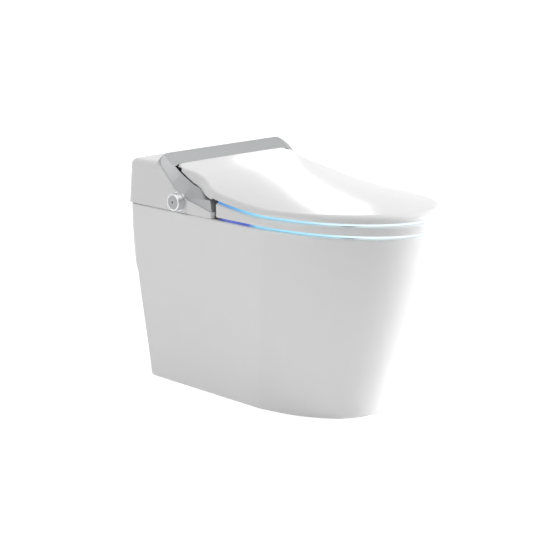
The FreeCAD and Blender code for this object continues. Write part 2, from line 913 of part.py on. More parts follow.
def trim_band():
    tip = [(band_tip_y, cover_bottom + band_tip_rise)]
    seat_z = cover_top + seam_gap
    skirt_back = band_lower[0][0]
    arm_outline = tip + band_upper + [(crest_y, seat_z), (skirt_back, seat_z)] + band_lower
    arm = side_prism(arm_outline, well_half_width, body_width).common(arm_face())
    skirt_low = lip_z - band_skirt_height
    bar_outline = [(lip_y, skirt_low), (lip_y, lip_z), (crest_y, crest_z), (crest_y, seat_z),
                   (skirt_back, seat_z), (skirt_back, skirt_low)]
    bar = side_prism(bar_outline, -well_half_width - overrun, well_half_width + overrun)
    band = both(arm).fuse(bar)
    band = band.common(envelope(0, cover_bottom, crest_z + overrun, band_tip_y - overrun))
    band = band.fuse(both(well_corner(arm_outline, skirt_low)))
    band = band.common(shoulder_arch())
    return band.cut(both(lid_sweep()))


def arm_face():
    """Room under the +X arm's broad face: upright at the tip, then leaning out as it climbs."""
    low = cover_bottom - overrun
    wires = []
    for x in (well_half_width - overrun, body_width / 2 + overrun):
        share = (x - well_half_width) / (body_width / 2 - well_half_width)
        line = [(y, z - share * drop * band_face_drop) for (y, z), drop in zip(band_upper, band_drop_shares)]
        front = band_tip_y - overrun
        back = crest_y + overrun
        points = [(front, low), (front, line[0][1])] + line + [(back, line[-1][1]), (back, low)]
        wires.append(Part.makePolygon([V(x, y, z) for y, z in points + points[:1]]))
    return Part.makeLoft(wires, True, True)


def well_corner(arm_outline, low):
    """Fills the square corner between the +X arm and the crossbar, round the lid's neck."""
    radius = lid_neck_corner + swing_gap
    centre_x = well_half_width - radius
    centre_y = lip_y - radius
    corner = box(centre_x, well_half_width, centre_y, lip_y + overrun, low, crest_z)
    corner = corner.cut(rod_z(radius, low - overrun, crest_z + overrun, centre_x, centre_y))
    return corner.common(side_prism(arm_outline, centre_x, well_half_width + overrun))


def lid_sweep():
    """Room behind the lid's axis for its rear edge and +X rear corner as the lid turns."""
    height = rim_height + lid_crown_shares[0] * lid_rise - lid_axis_z
    inner_x = lid_neck_width / 2 - lid_neck_corner
    points = [V(0, lid_axis_y, lid_axis_z)]
    for turn in (0, 0, 30, 60, 90):
        angle = math.radians(turn)
        behind = max(0, lid_rear_y - lid_neck_corner * (1 - math.cos(angle)) - lid_axis_y)
        x = inner_x + lid_neck_corner * math.sin(angle) if len(points) > 1 else 0
        points.append(V(x, lid_axis_y + math.hypot(behind, height) + swing_gap / 2, lid_axis_z))
    points += [V(well_half_width, points[-1].y, lid_axis_z), V(well_half_width, lid_axis_y, lid_axis_z)]
    face = Part.Face(Part.makePolygon(points + points[:1]))
    return face.revolve(points[0], V(1, 0, 0), 360)


def shoulder_arch():
    """Front view of the band: upright sides and a flat top joined by round shoulders."""
    half = envelope_half_width
    radius = band_shoulder_radius
    slant = radius * (1 - math.sqrt(0.5))
    spring = crest_z - radius
    corners = [V(half, 0, cover_bottom - overrun), V(half, 0, spring), V(half - radius, 0, crest_z)]
    left = [V(-p.x, p.y, p.z) for p in corners]
    wire = Part.Wire([
        Part.makeLine(corners[0], corners[1]),
        Part.Arc(corners[1], V(half - slant, 0, crest_z - slant), corners[2]).toShape(),
        Part.makeLine(corners[2], left[2]),
        Part.Arc(left[2], V(slant - half, 0, crest_z - slant), left[1]).toShape(),
        Part.makeLine(left[1], left[0]),
        Part.makeLine(left[0], corners[0]),
    ])
    return Part.Face(wire).extrude(V(0, envelope_rear_y, 0))


def side_panel():
    """Triangular panel under the +X arm, with a tab on the chassis."""
    bend_y, bend_z = band_lower[-1]
    seam = seam_y - panel_gap
    apex = cover_bottom + band_tip_rise - seam_gap
    outline = [(band_tip_y, cover_bottom - overrun), (band_tip_y, apex)]
    outline += [(bend_y + seam_gap, bend_z - seam_gap), (seam, seam_z - panel_gap)]
    outline.append((seam, cover_bottom - overrun))
    inner_x = body_width / 2 - panel_thickness
    panel = side_prism(outline, inner_x, body_width)
    panel = panel.common(envelope(0, cover_bottom, crest_z, band_tip_y - overrun))
    tab_start = band_tip_y + panel_tab_start_share * (seam - band_tip_y)
    tab = box(chassis_half_width - panel_tab_reach, inner_x + overrun, tab_start, seam,
              chassis_top, chassis_top + panel_tab)
    return panel.fuse(tab)


def fascia_outline(inset, low, front):
    rear = band_lower[0][0]
    top = [(fascia_nose_y, fascia_nose_rise), (fascia_brow_y, fascia_brow_rise),
           (fascia_mid_y, fascia_mid_rise), (rear, fascia_rear_rise)]
    points = [(y, rim_height + rise - inset) for y, rise in top]
    if front > fascia_nose_y:
        share = (front - fascia_brow_y) / (fascia_mid_y - fascia_brow_y)
        rise = fascia_brow_rise + share * (fascia_mid_rise - fascia_brow_rise)
        points[:2] = [(front, rim_height + rise - inset)]
    points[0] = (points[0][0] + inset, points[0][1])
    return [(points[0][0], low)] + points + [(rear, low)]


def fascia():
    low = chassis_top + seam_gap
    half = well_half_width - seam_gap
    nose_half = fascia_nose_half_width
    hood = side_prism(fascia_outline(0, low, fascia_nose_y), -nose_half, nose_half)
    side_low = chassis_top + fascia_side_lift
    hood = hood.fuse(side_prism(fascia_outline(0, side_low, fascia_front_y), -half, half))
    for front, width in ((fascia_nose_y, nose_half), (fascia_front_y, half)):
        inner = width - fascia_wall
        hood = hood.cut(side_prism(fascia_outline(fascia_wall, low - overrun, front), -inner, inner))
    rear = band_lower[0][0]
    hood = hood.cut(box(-body_width, body_width, rear - fascia_wall, rear + overrun,
                        low - overrun, lid_axis_z))
    for wand in (-1, 1):
        axis_x = wand * wand_spacing / 2
        hood = hood.cut(on_slope(rod_y(wand_radius + port_play, -wand_tip_length, guide_front, axis_x, 0)))
    slot_half = rack_thickness / 2 + port_play
    rack_slot = box(wand_x, rack_tip_x + port_play, -wand_tip_length, guide_front, -slot_half, slot_half)
    hood = hood.cut(on_slope(both(rack_slot)))
    post_slot = box(post_start - post_slot_play, post_start + post_width + post_slot_play,
                    lid_axis_y - post_foot_front - overrun, lid_axis_y + post_foot_rear,
                    rim_height + fascia_brow_rise, lid_axis_z)
    return hood.cut(both(post_slot))


# Hinges

post_start = lid_ear_start + lid_ear_width + post_gap


def hinge_post():
    end = post_start + post_width
    base = box(post_start, end, lid_axis_y - post_foot_front, lid_axis_y + post_foot_rear - post_half_depth,
               chassis_top, chassis_top + post_foot_thickness)
    column = side_prism([(lid_axis_y - post_front_slope, chassis_top),
                         (lid_axis_y + post_half_depth, chassis_top),
                         (lid_axis_y + post_half_depth / 2, lid_axis_z),
                         (lid_axis_y - lid_barrel_radius, lid_axis_z)], post_start, end)
    post = base.fuse(column).fuse(rod_x(lid_barrel_radius, post_start, end, lid_axis_y, lid_axis_z))
    return post.cut(rod_x(lid_pin_radius + slide_gap, post_start - overrun, end + overrun,
                          lid_axis_y, lid_axis_z))


def lid_damper():
    start = post_start + post_width
    body = rod_x(lid_barrel_radius, start, start + damper_length, lid_axis_y, lid_axis_z)
    return body.cut(rod_x(lid_pin_radius + slide_gap, start - overrun, start + damper_length + overrun,
                          lid_axis_y, lid_axis_z))


def lid_hinge_pin():
    end = post_start + post_width + damper_length
    return rod_x(lid_pin_radius, lid_ear_start - overrun, end, lid_axis_y, lid_axis_z)


def seat_bracket():
    inner = lug_start - ear_gap - ear_width
    outer = lug_start + lug_width + ear_gap
    foot = box(inner, outer + ear_width, seat_axis_y - ear_half_foot, seat_axis_y + ear_half_foot,
               chassis_top, chassis_top + bracket_base)
    for start in (inner, outer):
        ear = box(start, start + ear_width, seat_axis_y - ear_radius, seat_axis_y + ear_radius,
                  chassis_top, seat_axis_z)
        ear = ear.fuse(rod_x(ear_radius, start, start + ear_width, seat_axis_y, seat_axis_z))
        foot = foot.fuse(ear)
    return foot.cut(rod_x(seat_pin_radius + slide_gap, inner - overrun, outer + ear_width + overrun,
                          seat_axis_y, seat_axis_z))


def seat_hinge_pin():
    inner = lug_start - ear_gap - ear_width
    outer = lug_start + lug_width + ear_gap + ear_width
    return rod_x(seat_pin_radius, inner, outer, seat_axis_y, seat_axis_z)


def seat_bush():
    outer = seat_pin_radius + seat_bush_wall
    bush = rod_x(outer - slide_gap, lug_start, lug_start + lug_width, seat_axis_y, seat_axis_z)
    return bush.cut(rod_x(seat_pin_radius + slide_gap, lug_start - overrun, lug_start + lug_width + overrun,
                          seat_axis_y, seat_axis_z))


# Seat

def seat_outline(inset, z):
    return nose_outline(lid_half_width - inset, lid_front_y + inset, lid_nose_length - inset, lid_nose_power,
                        seat_rear_y - inset, seat_corner_radius, z)


seat_hole_front_y = lid_front_y + seat_front_width
seat_hole_length = seat_rear_y - seat_rear_width - seat_hole_front_y
seat_hole_centre_y = seat_hole_front_y + seat_hole_length / 2


def seat_ring(inset, z0, z1):
    ring = plan_prism(seat_outline(inset, 0), z0, z1)
    hole = oval(seat_hole_centre_y, seat_hole_length / 2 + inset, seat_hole_width / 2 + inset, 0)
    return ring.cut(plan_prism(hole, z0 - overrun, z1 + overrun))


def wand_channel(grow):
    """Passage under the seat's rear bar for the wash wands."""
    half = rack_tip_x + swing_gap + grow
    top = rim_height + wand_port_rise + wand_radius + swing_gap / 2 + grow
    front = seat_rear_y - seat_rear_width - swing_gap - overrun
    return box(-half, half, front, seat_rear_y + overrun, seat_bottom - overrun, top)


def seat_shell():
    high = rim_height + seat_rear_rise + overrun
    shell = seat_ring(0, seat_seam, high)
    shell = shell.cut(saddle_block(0, high + overrun))
    outer_edges = []
    hole_edges = []
    for edge in shell.Edges:
        bounds = edge.BoundBox
        if bounds.ZMin < seat_seam + slide_gap or bounds.ZMax - bounds.ZMin > seat_low_rise - seat_gap:
            continue
        spot = edge.valueAt((edge.FirstParameter + edge.LastParameter) / 2)
        across = abs(spot.x) / (seat_hole_width / 2)
        along = abs(spot.y - seat_hole_centre_y) / (seat_hole_length / 2)
        (hole_edges if math.hypot(across, along) < 1 + slide_gap else outer_edges).append(edge)
    shell = shell.makeFillet(seat_edge_radius, outer_edges)
    shell = shell.makeFillet(seat_hole_edge_radius, hole_edges)
    pocket = seat_ring(seat_wall, seat_seam - overrun, high).cut(saddle_block(-seat_wall, high + overrun))
    pocket = pocket.cut(wand_channel(seat_wall))
    return shell.cut(pocket).cut(wand_channel(0))


def seat_lug():
    top = seat_axis_z + seat_barrel_radius
    side = [(seat_rear_y - lug_root, seat_bottom), (seat_rear_y - lug_root, seat_seam),
            (seat_rear_y + seam_gap, seat_seam), (seat_rear_y + seam_gap, top - lug_top_drop),
            (seat_axis_y, top), (seat_axis_y, seat_axis_z - seat_barrel_radius),
            (seat_axis_y - ear_half_foot - overrun, chassis_top + lug_under_gap),
            (chassis_front_y - lug_under_gap, seat_bottom)]
    lug = side_prism(side, lug_start, lug_start + lug_width)
    return lug.fuse(rod_x(seat_barrel_radius, lug_start, lug_start + lug_width, seat_axis_y, seat_axis_z))


def seat_base():
    base = seat_ring(0, seat_bottom, seat_seam).fuse(both(seat_lug()))
    bore = rod_x(seat_pin_radius + seat_bush_wall, lug_start - overrun, lug_start + lug_width + overrun,
                 seat_axis_y, seat_axis_z)
    return base.cut(both(bore)).cut(wand_channel(0))


def seat_heater():
    high = rim_height + seat_rear_rise + overrun
    top = -seat_wall - heater_gap
    foil = seat_ring(heater_inset, seat_seam, high).cut(saddle_block(top, high + overrun))
    foil = foil.cut(saddle_block(top - heater_foil, rim_height))
    return foil.cut(wand_channel(heater_inset))


def pad_places():
    places = []
    for share, offset in zip(pad_side_shares, pad_front_offsets):
        places.append((share * body_width / 2, front_y + offset))
    return places


def pad_prism(place, grow, z0, z1):
    """An oval pad, grown all round, with its long side along the seat's edge."""
    centre = V(place[0], place[1], 0)
    nearest = Part.Vertex(centre).distToShape(seat_outline(0, 0))[1][0][1]
    out = (nearest - centre).normalize()
    long_end = centre + V(-out.y, out.x, 0) * (pad_length / 2 + grow)
    wide_end = centre + out * (pad_width / 2 + grow)
    return plan_prism(Part.Wire([Part.Ellipse(long_end, wide_end, centre).toShape()]), z0, z1)


def seat_pads():
    pads = []
    for place in pad_places():
        pad = pad_prism(place, 0, rim_height + seam_gap, seat_bottom)
        pads += [pad, mirrored(pad)]
    return Part.makeCompound(pads)


def lid_pads():
    pads = []
    for place in pad_places():
        pad = pad_prism(place, 0, rim_height, crest_z)
        pad = pad.cut(saddle_block(lid_gap + lid_liner_inset, crest_z + overrun))
        pad = pad.cut(saddle_block(seam_gap, rim_height - overrun))
        pads += [pad, mirrored(pad)]
    return Part.makeCompound(pads)


def edge_strip(z0, z1):
    """Light strip following the outline, open at the rear and broken at the front pads."""
    strip = plan_prism(seat_outline(strip_inset, 0), z0, z1)
    strip = strip.cut(plan_prism(seat_outline(strip_inset + strip_width, 0), z0 - overrun, z1 + overrun))
    rear = seat_rear_y - strip_rear_inset
    strip = strip.cut(box(-body_width, body_width, rear, seat_rear_y + overrun, z0 - overrun, z1 + overrun))
    for place in pad_places():
        strip = strip.cut(both(pad_prism(place, strip_break, z0 - overrun, z1 + overrun)))
    return strip


def seat_light_strip():
    return edge_strip(seat_bottom - strip_thickness, seat_bottom)


def lid_light_strip():
    strip = edge_strip(rim_height + seat_low_rise, crest_z)
    strip = strip.cut(saddle_block(lid_gap, crest_z + overrun))
    return strip.cut(saddle_block(lid_gap - strip_thickness, rim_height))


# Lid

def lid_outline(inset):
    """Lid in plan: round nose, full width to the arm tips, then a neck that runs past its rear edge."""
    half = lid_half_width - inset
    neck = lid_neck_width / 2 - inset
    tip = lid_front_y + inset
    nose = lid_nose_length - inset
    back = lid_rear_y - inset + lid_edge_radius
    corner = lid_neck_corner - inset
    neck_y = band_upper[1][0] - inset
    flare_y = band_tip_y - inset
    waist = Part.BSplineCurve()
    waist.interpolate(Points=[V(-half, flare_y, 0), V(-(half + neck) / 2, (flare_y + neck_y) / 2, 0),
                              V(-neck, neck_y, 0)], InitialTangent=V(0, 1, 0), FinalTangent=V(0, 1, 0))
    side = Part.Wire([Part.makeLine(V(-half, tip + nose, 0), V(-half, flare_y, 0)), waist.toShape(),
                      Part.makeLine(V(-neck, neck_y, 0), V(-neck, back - corner, 0)),
                      corner_arc((-neck + corner, back - corner), 90, corner, 0)])
    edges = [nose_curve(half, tip, nose, lid_nose_power, 0)] + side.Edges + mirrored(side).Edges
    edges.append(Part.makeLine(V(-neck + corner, back, 0), V(neck - corner, back, 0)))
    return Part.Wire(Part.__sortEdges__(edges))


def lid_sections():
    """Stations along the lid, with crown and side heights, and one more behind its rear edge."""
    sections = []
    for station, crown, side in zip(lid_station_shares, lid_crown_shares, lid_side_shares):
        sections.append((lid_rear_y - station * (lid_length + overrun), rim_height + crown * lid_rise,
                         rim_height + side * lid_rise))
    rear, ahead = sections[:2]
    reach = 2 * lid_edge_radius / (rear[0] - ahead[0])
    tail = tuple(first + (first - second) * reach for first, second in zip(rear, ahead))
    return [tail] + sections


def lid_crown(inset):
    """Everything under the lid's crowned top surface, lowered by inset."""
    half = lid_half_width + overrun
    wires = []
    for y, crown, side in lid_sections():
        left = V(-half, y, side - inset)
        right = V(half, y, side - inset)
        foot_left = V(-half, y, rim_height)
        foot_right = V(half, y, rim_height)
        wires.append(Part.Wire([
            Part.Arc(left, V(0, y, crown - inset), right).toShape(),
            Part.makeLine(right, foot_right),
            Part.makeLine(foot_right, foot_left),
            Part.makeLine(foot_left, left),
        ]))
    return Part.makeLoft(wires, True, False)


def lid_underline():
    """Side view of the lid's lower edge behind the arm tips: above the arms, then under the skin."""
    rise = [(y, z + swing_gap) for y, z in band_upper[:band_lip_index]]
    skin = rim_height + lid_side_shares[0] * lid_rise - lid_wall - lid_skin_edge
    return rise + [(lid_axis_y - lid_barrel_radius, skin), (lip_y + overrun, skin)]


def behind_lid(inset, low, high):
    """What is trimmed off behind the lid's rear edge and its round corners."""
    half = lid_neck_width / 2 - inset + swing_gap
    back = lid_rear_y - inset
    corner = lid_neck_corner - inset
    neck = rounded_uprights(box(-half, half, band_tip_y, back, low, high), corner)
    return box(-body_width, body_width, back - corner, envelope_rear_y, low, high).cut(neck)


def lid_block(inset):
    """The lid as a solid, drawn in by inset, with a round edge along its nose, sides and neck."""
    top = crest_z + lid_edge_radius
    block = plan_prism(lid_outline(inset), rim_height + overrun, top).common(lid_crown(inset))
    edges = [edge for edge in block.Edges if edge.BoundBox.ZMin > rim_height + seat_low_rise]
    block = block.makeFillet(lid_edge_radius - inset, edges)
    return block.cut(behind_lid(inset, rim_height, top))


def lid_neck():
    """The lid's neck with a tighter edge, drawn in forwards until it lies under the round one."""
    half = lid_neck_width / 2 - lid_neck_inset
    back = lid_rear_y - lid_neck_inset
    front = band_upper[1][0]
    corner = lid_neck_corner
    side = Part.BSplineCurve()
    side.interpolate(Points=[V(half - lid_edge_radius, front, 0), V(half, back - corner, 0)],
                     InitialTangent=V(lid_edge_radius, back - corner - front, 0), FinalTangent=V(0, 1, 0))
    arc = corner_arc((half - corner, back - corner), 0, corner, 0)
    right = Part.Wire([side.toShape(), arc])
    edges = right.Edges + mirrored(right).Edges
    edges.append(Part.makeLine(V(corner - half, back, 0), V(half - corner, back, 0)))
    edges.append(Part.makeLine(V(lid_edge_radius - half, front, 0), V(half - lid_edge_radius, front, 0)))
    neck = plan_prism(Part.Wire(Part.__sortEdges__(edges)), rim_height + overrun, crest_z + lid_edge_radius)
    neck = neck.common(lid_crown(lid_neck_inset))
    rim = [edge for edge in neck.Edges
           if edge.BoundBox.ZMin > rim_height + seat_low_rise and edge.BoundBox.YMax > front + overrun]
    return neck.makeFillet(lid_neck_edge_radius, rim)


def lid_shell():
    shell = lid_block(0).fuse(lid_neck()).cut(lid_block(lid_wall))
    return shell.cut(saddle_block(lid_gap, rim_height, lid_underline()))


def lid_liner():
    rear = band_tip_y - lid_liner_rear_gap
    core = lid_block(lid_wall + seam_gap)
    plate = core.cut(saddle_block(lid_gap + lid_liner_inset + lid_liner_thickness, crest_z))
    plate = plate.cut(saddle_block(lid_gap + lid_liner_inset, rim_height))
    wall = core.cut(saddle_block(lid_gap + lid_liner_inset, rim_height))
    wall = wall.common(box(-body_width, body_width, rear - lid_liner_thickness, rear, rim_height, crest_z))
    plate = plate.common(box(-body_width, body_width, lid_front_y, rear, rim_height, crest_z))
    return plate.fuse(wall)


def lid_ear():
    end = lid_ear_start + lid_ear_width
    front = lid_axis_y - lid_ear_reach
    back = lid_axis_y + lid_barrel_radius / 2
    side = [(back, lid_axis_z), (back, crest_z), (front, crest_z), (front, lid_axis_z - lid_ear_depth),
            (lid_axis_y, lid_axis_z - lid_barrel_radius)]
    ear = side_prism(side, lid_ear_start, end)
    ear = ear.fuse(rod_x(lid_barrel_radius, lid_ear_start, end, lid_axis_y, lid_axis_z))
    ear = ear.common(lid_block(lid_wall))
    return ear.cut(rod_x(lid_pin_radius + slide_gap, lid_ear_start - overrun, end + overrun,
                         lid_axis_y, lid_axis_z))


# Control knob

skin_x = envelope_half_width - cover_draft * (knob_z - cover_bottom) / (cover_top - cover_bottom)
bezel_x = -skin_x - knob_bezel
knob_back_x = bezel_x - knob_run_gap
knob_front_x = knob_back_x - knob_length


def knob_bezel_ring():
    ring = rod_x(knob_bezel_radius, bezel_x, -chassis_half_width, knob_y, knob_z)
    ring = ring.cut(envelope(0, cover_bottom - knob_bezel_radius, crest_z, band_tip_y - overrun))
    return ring.cut(rod_x(knob_shaft_hole_radius, bezel_x - overrun, -chassis_half_width, knob_y, knob_z))


def knob_ring():
    ring = rod_x(knob_radius, knob_front_x, knob_back_x, knob_y, knob_z)
    front_edges = [edge for edge in ring.Edges if edge.BoundBox.XMax < knob_front_x + slide_gap]
    ring = ring.makeFillet(knob_edge, front_edges)
    ring = ring.cut(rod_x(button_radius + button_gap, knob_front_x - overrun, knob_back_x - knob_web,
                          knob_y, knob_z))
    return ring.cut(rod_x(knob_shaft_radius + slide_gap, knob_front_x - overrun, knob_back_x + overrun,
                          knob_y, knob_z))


def encoder_faces():
    outer = -skin_x + cover_wall + cover_draft * encoder_size / (cover_top - cover_bottom)
    return outer, outer + encoder_depth


def knob_shaft():
    return rod_x(knob_shaft_radius, knob_back_x - knob_web, encoder_faces()[1], knob_y, knob_z)


def knob_encoder():
    outer, inner = encoder_faces()
    half = encoder_size / 2
    body = box(outer - cover_wall, inner, knob_y - half, knob_y + half, knob_z - half, knob_z + half)
    body = body.common(envelope(cover_wall + seam_gap, cover_bottom - overrun, crest_z, band_tip_y - overrun))
    return body.cut(rod_x(knob_shaft_radius + slide_gap, outer - 2 * cover_wall, inner + overrun,
                          knob_y, knob_z))


def knob_button():
    front = knob_front_x - button_proud
    disc = rod_x(button_radius, front, front + button_thickness, knob_y, knob_z)
    front_edges = [edge for edge in disc.Edges if edge.BoundBox.XMax < front + slide_gap]
    disc = disc.makeFillet(button_round, front_edges)
    return disc.cut(rod_x(lens_radius + slide_gap, front - overrun, front + lens_depth, knob_y, knob_z))


def button_lens():
    front = knob_front_x - button_proud
    return rod_x(lens_radius, front - lens_proud, front + lens_depth, knob_y, knob_z)


# Wash wands, drawn with y along the wand from its port and then tilted onto the slope

def on_slope(shape):
    shape.rotate(V(0, 0, 0), V(1, 0, 0), wand_slope_degrees)
    shape.translate(V(0, fascia_nose_y, rim_height + wand_port_rise))
    return shape


wand_x = wand_spacing / 2
tooth_depth_shares = (1.0, 1.25)
tooth_pitch = math.pi * rack_module
rack_root_x = wand_x + wand_radius + rack_base
rack_line_x = rack_root_x + tooth_depth_shares[1] * rack_module
rack_tip_x = rack_line_x + tooth_depth_shares[0] * rack_module
pinion_x = rack_line_x + pinion_teeth * rack_module / 2
pressure = math.radians(pressure_degrees)


def rack():
    """Rack bar along the outside of the +X wand, with a gap between teeth facing the pinion at rest."""
    end = wand_length - rack_base
    first = math.ceil((rack_start - pinion_y) / tooth_pitch + 0.5)
    last = math.floor((end - pinion_y) / tooth_pitch - 0.5)
    half_line = (tooth_pitch - pinion_backlash) / 4
    half_root = half_line + (rack_line_x - rack_root_x) * math.tan(pressure)
    half_tip = half_line - (rack_tip_x - rack_line_x) * math.tan(pressure)
    points = [(wand_x, end), (wand_x, rack_start), (rack_root_x, rack_start)]
    for tooth in range(first, last):
        middle = pinion_y + (tooth + 0.5) * tooth_pitch
        points += [(rack_root_x, middle - half_root), (rack_tip_x, middle - half_tip),
                   (rack_tip_x, middle + half_tip), (rack_root_x, middle + half_root)]
    points.append((rack_root_x, end))
    corners = [V(x, y, 0) for x, y in points]
    return plan_prism(Part.makePolygon(corners + corners[:1]), -rack_thickness / 2, rack_thickness / 2)


def wand_body():
    body = rod_y(wand_radius, wand_tip_length, wand_length, wand_x, 0).fuse(rack())
    return body.cut(rod_y(wand_bore_radius, wand_tip_length - overrun, wand_length + overrun, wand_x, 0))


def wand_tip():
    tip = rod_y(wand_radius, 0, wand_tip_length, wand_x, 0)
    front_edges = [edge for edge in tip.Edges if edge.BoundBox.YMax < slide_gap]
    tip = tip.makeFillet(wand_tip_round, front_edges)
    for hole in range(spray_count):
        tip = tip.cut(rod_z(spray_radius, 0, wand_radius + overrun, wand_x, spray_start + hole * spray_pitch))
    return tip


def pinion():
    """Involute pinion with a tooth pointing at the rack, on its own shaft."""
    line_radius = pinion_teeth * rack_module / 2
    base_radius = line_radius * math.cos(pressure)
    tip_radius = line_radius + tooth_depth_shares[0] * rack_module
    root_radius = line_radius - tooth_depth_shares[1] * rack_module
    half_tooth = math.pi / (2 * pinion_teeth) - pinion_backlash / (4 * line_radius)
    half_base = half_tooth + math.tan(pressure) - pressure
    flank = [(root_radius, half_base)]
    for step in range(flank_steps + 1):
        radius = base_radius + (tip_radius - base_radius) * step / flank_steps
        roll = math.acos(base_radius / radius)
        flank.append((radius, half_base - math.tan(roll) + roll))
    corners = []
    for tooth in range(pinion_teeth):
        middle = math.pi + 2 * math.pi * tooth / pinion_teeth
        for radius, offset in [(r, -a) for r, a in flank] + [(r, a) for r, a in reversed(flank)]:
            angle = middle + offset
            corners.append(V(pinion_x + radius * math.cos(angle), pinion_y + radius * math.sin(angle), 0))
    gear = plan_prism(Part.makePolygon(corners + corners[:1]), -rack_thickness / 2, rack_thickness / 2)
    return gear.fuse(rod_z(pinion_shaft_radius, -rack_thickness / 2, bridge_top + motor_height / 2,
                           pinion_x, pinion_y))


bridge_low = wand_radius + bridge_gap
bridge_top = bridge_low + bridge_thickness


def wand_guide():
    """Trough that carries both wands, a bridge over them for the motors, and a leg on the chassis."""
    half = wand_x + wand_radius - bridge_gap
    floor = -wand_radius - guide_floor
    back = wand_length + guide_floor
    guide = box(-half, half, guide_front, back, floor, 0)
    bridge_front = pinion_y - bridge_length / 2
    bridge_back = pinion_y + bridge_length / 2
    rib = bridge_rib / 2
    guide = guide.fuse(box(-rib, rib, bridge_front, bridge_back, -rib, bridge_low))
    bridge_half = pinion_x + motor_radius
    guide = guide.fuse(box(-bridge_half, bridge_half, bridge_front, bridge_back, bridge_low, bridge_top))
    for side in (-1, 1):
        guide = guide.cut(rod_y(wand_radius + slide_gap, guide_front - overrun, back + overrun,
                                side * wand_x, 0))
        guide = guide.cut(rod_z(pinion_shaft_radius + slide_gap, bridge_low - overrun, bridge_top + overrun,
                                side * pinion_x, pinion_y))
    guide = on_slope(guide)
    leg = box(-leg_half_width, leg_half_width, fascia_brow_y + leg_inset, fascia_mid_y,
              chassis_top, lid_axis_z)
    return guide.fuse(leg.common(on_slope(box(-half, half, 0, back, -rim_height / 2, floor + slide_gap))))


def wand_motor():
    body = rod_z(motor_radius, bridge_top, bridge_top + motor_height, pinion_x, pinion_y)
    return body.cut(rod_z(pinion_shaft_radius + slide_gap, bridge_top - overrun,
                          bridge_top + motor_height / 2 + slide_gap, pinion_x, pinion_y))


# Warm air dryer

def dryer_housing():
    top = chassis_top + dryer_height
    duct_top = chassis_top + duct_height
    duct_front = fascia_nose_y + fascia_wall + duct_front_gap
    body = rod_z(dryer_radius, chassis_top, top, dryer_x, dryer_y)
    body = body.fuse(box(duct_left, duct_right, duct_front, dryer_y, chassis_top, duct_top))
    body = body.cut(rod_z(dryer_radius - dryer_wall, chassis_top + dryer_wall, top - dryer_wall,
                          dryer_x, dryer_y))
    body = body.cut(rod_z(dryer_inlet_radius, top - 2 * dryer_wall, top + overrun, dryer_x, dryer_y))
    return body.cut(box(duct_left + dryer_wall, duct_right - dryer_wall, duct_front - overrun, dryer_y,
                        chassis_top + dryer_wall, duct_top - dryer_wall))


dryer_motor_base = chassis_top + dryer_wall
fan_base = dryer_motor_base + dryer_motor_height + fan_gap


def dryer_motor():
    motor_top = dryer_motor_base + dryer_motor_height
    body = rod_z(dryer_motor_radius, dryer_motor_base, motor_top, dryer_x, dryer_y)
    return body.fuse(rod_z(dryer_shaft_radius, dryer_motor_base, fan_base + fan_height, dryer_x, dryer_y))


def dryer_fan():
    fan = rod_z(fan_radius, fan_base, fan_base + fan_plate, dryer_x, dryer_y)
    fan = fan.fuse(rod_z(fan_hub_radius, fan_base, fan_base + fan_height, dryer_x, dryer_y))
    for number in range(fan_blades):
        blade = box(dryer_inlet_radius - fan_blade, fan_radius, -fan_blade / 2, fan_blade / 2,
                    fan_base, fan_base + fan_height)
        blade.rotate(V(0, 0, 0), V(0, 0, 1), 360 * number / fan_blades)
        blade.translate(V(dryer_x, dryer_y, 0))
        fan = fan.fuse(blade)
    return fan.cut(rod_z(dryer_shaft_radius + slide_gap, fan_base - overrun, fan_base + fan_height + overrun,
                         dryer_x, dryer_y))


# Other units on the chassis

def unit_block(x, y, width, length, height):
    block = box(x, x + width, y, y + length, chassis_top, chassis_top + height)
    return rounded_uprights(block, unit_edge_radius)


def water_heater():
    body = unit_block(heater_x, heater_y, heater_width, heater_length, heater_height)
    port_z = chassis_top + heater_height / 2
    for share in heater_port_shares:
        port_x = heater_x + share * heater_width
        body = body.fuse(rod_y(barb_radius, heater_y - barb_length, heater_y, port_x, port_z))
    return body


def inlet_valve():
    body = unit_block(inlet_side - valve_width / 2, hose_rise_y - valve_width / 2, valve_width, valve_length,
                      valve_height)
    body = body.fuse(rod_z(coil_radius, chassis_top + valve_height, chassis_top + valve_height + coil_height,
                           inlet_side, hose_rise_y + valve_length - valve_width))
    return body.fuse(rod_z(barb_radius, rim_height - barb_length, chassis_top, inlet_side, hose_rise_y))


def wash_pump():
    axis_x = wash_pump_x + wash_pump_radius
    axis_z = chassis_top + wash_pump_foot + wash_pump_radius
    body = rod_y(wash_pump_radius, wash_pump_y, wash_pump_y + wash_pump_length, axis_x, axis_z)
    foot = box(wash_pump_x, wash_pump_x + 2 * wash_pump_radius, wash_pump_y, wash_pump_y + wash_pump_length,
               chassis_top, axis_z - wash_pump_radius / 2)
    return body.fuse(foot)


def odour_filter():
    return unit_block(filter_x, filter_y, filter_width, filter_length, filter_height)


def power_supply():
    return unit_block(supply_x, supply_y, supply_width, supply_length, supply_height)


def control_board():
    low = chassis_top + standoff_height
    board = box(board_x, board_x + board_width, board_y, board_y + board_length, low, low + board_thickness)
    for x in (board_x + standoff_inset, board_x + board_width - standoff_inset):
        for y in (board_y + standoff_inset, board_y + board_length - standoff_inset):
            board = board.fuse(rod_z(standoff_radius, chassis_top, low, x, y))
    for share in chip_length_shares:
        chip_y = board_y + share * board_length
        chip_x = board_x + (board_width - chip_width) / 2
        board = board.fuse(box(chip_x, chip_x + chip_width, chip_y, chip_y + chip_width / 2, low,
                               low + board_thickness + chip_height))
    return board


# Every piece, by name

